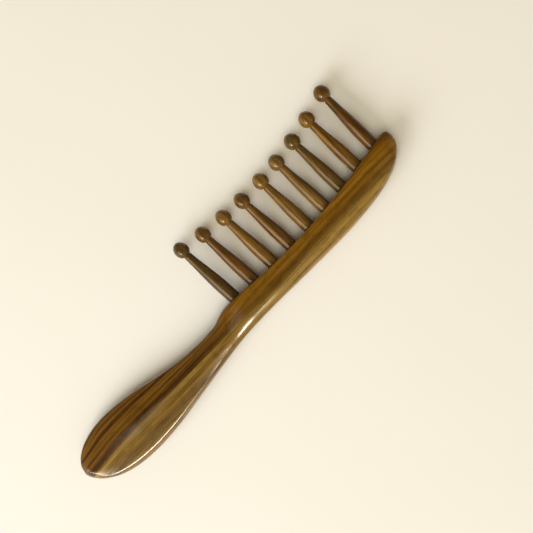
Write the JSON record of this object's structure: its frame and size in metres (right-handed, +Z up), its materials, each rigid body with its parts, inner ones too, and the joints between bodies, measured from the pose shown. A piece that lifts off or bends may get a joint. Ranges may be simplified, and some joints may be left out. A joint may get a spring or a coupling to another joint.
{
  "type": "wide tooth comb",
  "caption": "Handled wooden wide tooth comb: rounded grip, slim neck and a curved spine set with turned, ball-ended teeth for detangling hair.",
  "frame": {"origin": "under the middle of the comb's length and width, on the flat face it lies on", "axes": "+X along the comb from the butt of the handle to the tip of the head, +Y the way the teeth point, +Z up through the thickness of the board"},
  "size_m": [0.2154, 0.0628, 0.013],
  "materials": {
    "board_wood": "oiled and polished",
    "tooth_wood_1": "oiled and polished",
    "tooth_wood_2": "oiled and polished",
    "tooth_wood_3": "oiled and polished",
    "tooth_wood_4": "oiled and polished",
    "tooth_wood_5": "oiled and polished",
    "tooth_wood_6": "oiled and polished",
    "tooth_wood_7": "oiled and polished",
    "tooth_wood_8": "oiled and polished",
    "tooth_wood_9": "oiled and polished"
  },
  "bodies": {
    "root": {"comb_body": "board_wood", "tooth_1": "tooth_wood_1", "tooth_2": "tooth_wood_2", "tooth_3": "tooth_wood_3", "tooth_4": "tooth_wood_4", "tooth_5": "tooth_wood_5", "tooth_6": "tooth_wood_6", "tooth_7": "tooth_wood_7", "tooth_8": "tooth_wood_8", "tooth_9": "tooth_wood_9"}
  },
  "joints": []
}
